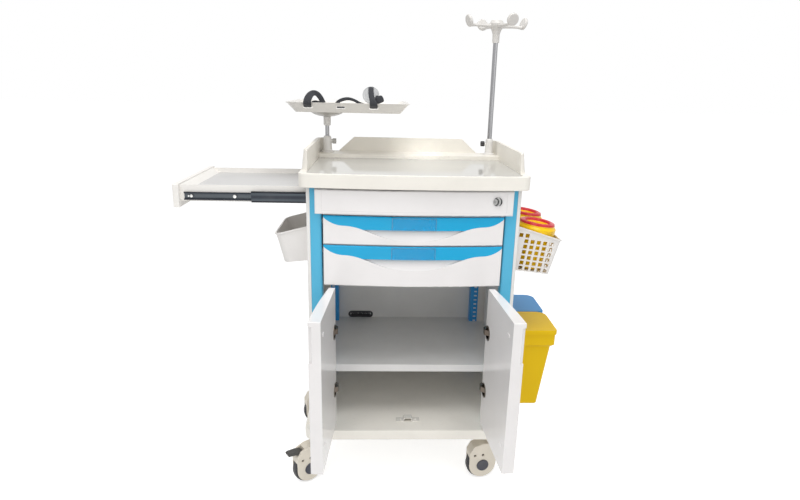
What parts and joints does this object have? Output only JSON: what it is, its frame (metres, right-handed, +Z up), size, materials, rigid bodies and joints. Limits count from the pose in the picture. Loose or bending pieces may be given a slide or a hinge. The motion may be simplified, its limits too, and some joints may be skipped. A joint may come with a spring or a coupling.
{
  "type": "crash cart",
  "caption": "Hospital crash cart with drawers, doors, pull-out side shelf, defibrillator tray, infusion pole, side bins and swivel casters.",
  "frame": {"origin": "centre of the bounding box, on the floor", "axes": "+X to the right, +Y to the rear, +Z up"},
  "size_m": [1.137, 0.8052, 1.4481],
  "materials": {
    "moulding_cream": "fine texture",
    "panel_white": "powder coat",
    "column_blue": "powder coat",
    "liner_grey": "powder coat",
    "black_plastic": "plain",
    "clear_mat": "clear",
    "front_white": "satin",
    "grip_blue": "gloss",
    "window_clear": "clear",
    "box_grey": "plain",
    "steel": "satin",
    "slide_black": "e-coat",
    "bin_white": "plain",
    "sharps_yellow": "gloss",
    "ring_red": "gloss",
    "bin_yellow": "plain",
    "bin_blue": "plain",
    "caster_cream": "plain",
    "tyre_black": "plain",
    "pedal_grey": "plain",
    "pole_white": "satin",
    "webbing_black": "woven",
    "disc_clear": "clear",
    "strike_steel": "plated"
  },
  "bodies": {
    "cabinet": {"base_moulding": "moulding_cream", "side_panel_left": "panel_white", "side_panel_right": "panel_white", "front_columns": "column_blue", "rear_columns": "column_blue", "back_panel": "liner_grey", "cable_port": "black_plastic", "cabinet_shelf": "liner_grey", "worktop": "moulding_cream", "worktop_mat": "clear_mat", "lock_fascia": "front_white", "drawer_runners": "box_grey", "slide_outer_members": "slide_black", "hinge_plates": "steel", "door_strike": "strike_steel", "pole_sockets": "pole_white", "storage_bin": "bin_white", "basket": "bin_white", "sharps_bodies": "sharps_yellow", "sharps_rings": "ring_red", "waste_bin_yellow": "bin_yellow", "waste_bin_blue": "bin_blue"},
    "lock": {"lock_cylinder": "strike_steel"},
    "defib_knob": {"defib_knob": "black_plastic"},
    "iv_knob": {"iv_knob": "black_plastic"},
    "defib_stand": {"defib_rod": "steel", "tray_flange": "pole_white", "defib_tray": "moulding_cream", "tray_straps": "webbing_black", "strap_disc": "disc_clear"},
    "iv_pole": {"iv_rod": "steel", "iv_hook_head": "pole_white"},
    "side_shelf": {"side_shelf": "panel_white", "slide_inner_members": "slide_black"},
    "slide_mid": {"slide_mid_members": "slide_black"},
    "lid_yellow": {"waste_lid_yellow": "bin_yellow"},
    "lid_blue": {"waste_lid_blue": "bin_blue"},
    "upper_drawer": {"upper_drawer_front": "front_white", "upper_drawer_box": "box_grey", "upper_drawer_grip": "grip_blue", "upper_drawer_label_window": "window_clear"},
    "lower_drawer": {"lower_drawer_front": "front_white", "lower_drawer_box": "box_grey", "lower_drawer_grip": "grip_blue", "lower_drawer_label_window": "window_clear"},
    "right_door": {"door_right": "front_white", "hinge_cups_right": "steel"},
    "right_hinge_arms": {"hinge_arms_right": "steel"},
    "left_door": {"door_left": "front_white", "hinge_cups_left": "steel"},
    "left_hinge_arms": {"hinge_arms_left": "steel"},
    "caster_front_left": {"caster_housing_front_left": "caster_cream"},
    "wheel_front_left": {"caster_wheel_front_left": "tyre_black"},
    "brake": {"brake_pedal": "pedal_grey"},
    "caster_front_right": {"caster_housing_front_right": "caster_cream"},
    "wheel_front_right": {"caster_wheel_front_right": "tyre_black"},
    "caster_rear_left": {"caster_housing_rear_left": "caster_cream"},
    "wheel_rear_left": {"caster_wheel_rear_left": "tyre_black"},
    "caster_rear_right": {"caster_housing_rear_right": "caster_cream"},
    "wheel_rear_right": {"caster_wheel_rear_right": "tyre_black"}
  },
  "joints": [
    {"name": "upper_drawer_slide", "type": "slide", "parent": "cabinet", "child": "upper_drawer", "axis": [0, -1, 0], "range_m": [0, 0.3]},
    {"name": "lower_drawer_slide", "type": "slide", "parent": "cabinet", "child": "lower_drawer", "axis": [0, -1, 0], "range_m": [0, 0.3]},
    {"name": "right_door_hinge", "type": "hinge", "parent": "cabinet", "child": "right_door", "pos_m": [0.35518, -0.15335, 0.238], "axis": [0, 0, -1], "range_deg": [0, 94]},
    {"name": "right_hinge_arm_turn", "type": "hinge", "parent": "cabinet", "child": "right_hinge_arms", "pos_m": [0.34818, -0.11535, 0.238], "axis": [0, 0, -1], "range_deg": [0, 94]},
    {"name": "left_door_hinge", "type": "hinge", "parent": "cabinet", "child": "left_door", "pos_m": [-0.14482, -0.15335, 0.238], "axis": [0, 0, 1], "range_deg": [0, 94]},
    {"name": "left_hinge_arm_turn", "type": "hinge", "parent": "cabinet", "child": "left_hinge_arms", "pos_m": [-0.13782, -0.11535, 0.238], "axis": [0, 0, 1], "range_deg": [0, 94]},
    {"name": "side_shelf_slide", "type": "slide", "parent": "cabinet", "child": "side_shelf", "axis": [1, 0, 0], "range_m": [0, 0.355]},
    {"name": "slide_mid_slide", "type": "slide", "parent": "cabinet", "child": "slide_mid", "axis": [1, 0, 0], "range_m": [0, 0.1775]},
    {"name": "lock_turn", "type": "hinge", "parent": "cabinet", "child": "lock", "pos_m": [0.33318, -0.13135, 0.928], "axis": [0, 1, 0], "range_deg": [0, 90]},
    {"name": "defib_knob_turn", "type": "hinge", "parent": "cabinet", "child": "defib_knob", "pos_m": [-0.16682, 0.25265, 1.046], "axis": [1, 0, 0], "range_deg": [0, 270]},
    {"name": "iv_knob_turn", "type": "hinge", "parent": "cabinet", "child": "iv_knob", "pos_m": [0.37718, 0.25265, 1.046], "axis": [-1, 0, 0], "range_deg": [0, 270]},
    {"name": "defib_swivel", "type": "hinge", "parent": "cabinet", "child": "defib_stand", "pos_m": [-0.16682, 0.25265, 0.968], "axis": [0, 0, 1], "continuous": true},
    {"name": "iv_pole_slide", "type": "slide", "parent": "cabinet", "child": "iv_pole", "axis": [0, 0, 1], "range_m": [0, 0.24]},
    {"name": "lid_yellow_hinge", "type": "hinge", "parent": "cabinet", "child": "lid_yellow", "pos_m": [0.41118, -0.07136, 0.512], "axis": [0, -1, 0], "range_deg": [0, 90]},
    {"name": "lid_blue_hinge", "type": "hinge", "parent": "cabinet", "child": "lid_blue", "pos_m": [0.41118, 0.09065, 0.512], "axis": [0, -1, 0], "range_deg": [0, 90]},
    {"name": "swivel_front_left", "type": "hinge", "parent": "cabinet", "child": "caster_front_left", "pos_m": [-0.17882, -0.08435, 0.1345], "axis": [0, 0, 1], "continuous": true},
    {"name": "roll_front_left", "type": "hinge", "parent": "caster_front_left", "child": "wheel_front_left", "pos_m": [-0.21158, -0.1073, 0.05], "axis": [0.5736, -0.8192, 0], "continuous": true},
    {"name": "brake_press", "type": "hinge", "parent": "caster_front_left", "child": "brake", "pos_m": [-0.23288, -0.12221, 0.11], "axis": [0.5736, -0.8192, 0], "range_deg": [0, 12]},
    {"name": "swivel_front_right", "type": "hinge", "parent": "cabinet", "child": "caster_front_right", "pos_m": [0.38918, -0.08435, 0.1345], "axis": [0, 0, 1], "continuous": true},
    {"name": "roll_front_right", "type": "hinge", "parent": "caster_front_right", "child": "wheel_front_right", "pos_m": [0.34979, -0.0913, 0.05], "axis": [0.1736, -0.9848, 0], "continuous": true},
    {"name": "swivel_rear_left", "type": "hinge", "parent": "cabinet", "child": "caster_rear_left", "pos_m": [-0.17882, 0.23964, 0.1345], "axis": [0, 0, 1], "continuous": true},
    {"name": "roll_rear_left", "type": "hinge", "parent": "caster_rear_left", "child": "wheel_rear_left", "pos_m": [-0.21641, 0.22596, 0.05], "axis": [0.342, -0.9397, 0], "continuous": true},
    {"name": "swivel_rear_right", "type": "hinge", "parent": "cabinet", "child": "caster_rear_right", "pos_m": [0.38918, 0.23964, 0.1345], "axis": [0, 0, 1], "continuous": true},
    {"name": "roll_rear_right", "type": "hinge", "parent": "caster_rear_right", "child": "wheel_rear_right", "pos_m": [0.35054, 0.22929, 0.05], "axis": [0.2588, -0.9659, 0], "continuous": true}
  ],
  "couplings": [
    {"joint": "slide_mid_slide", "follows": "side_shelf_slide", "ratio": 0.5},
    {"joint": "left_hinge_arm_turn", "follows": "left_door_hinge", "ratio": 1},
    {"joint": "right_hinge_arm_turn", "follows": "right_door_hinge", "ratio": 1}
  ]
}
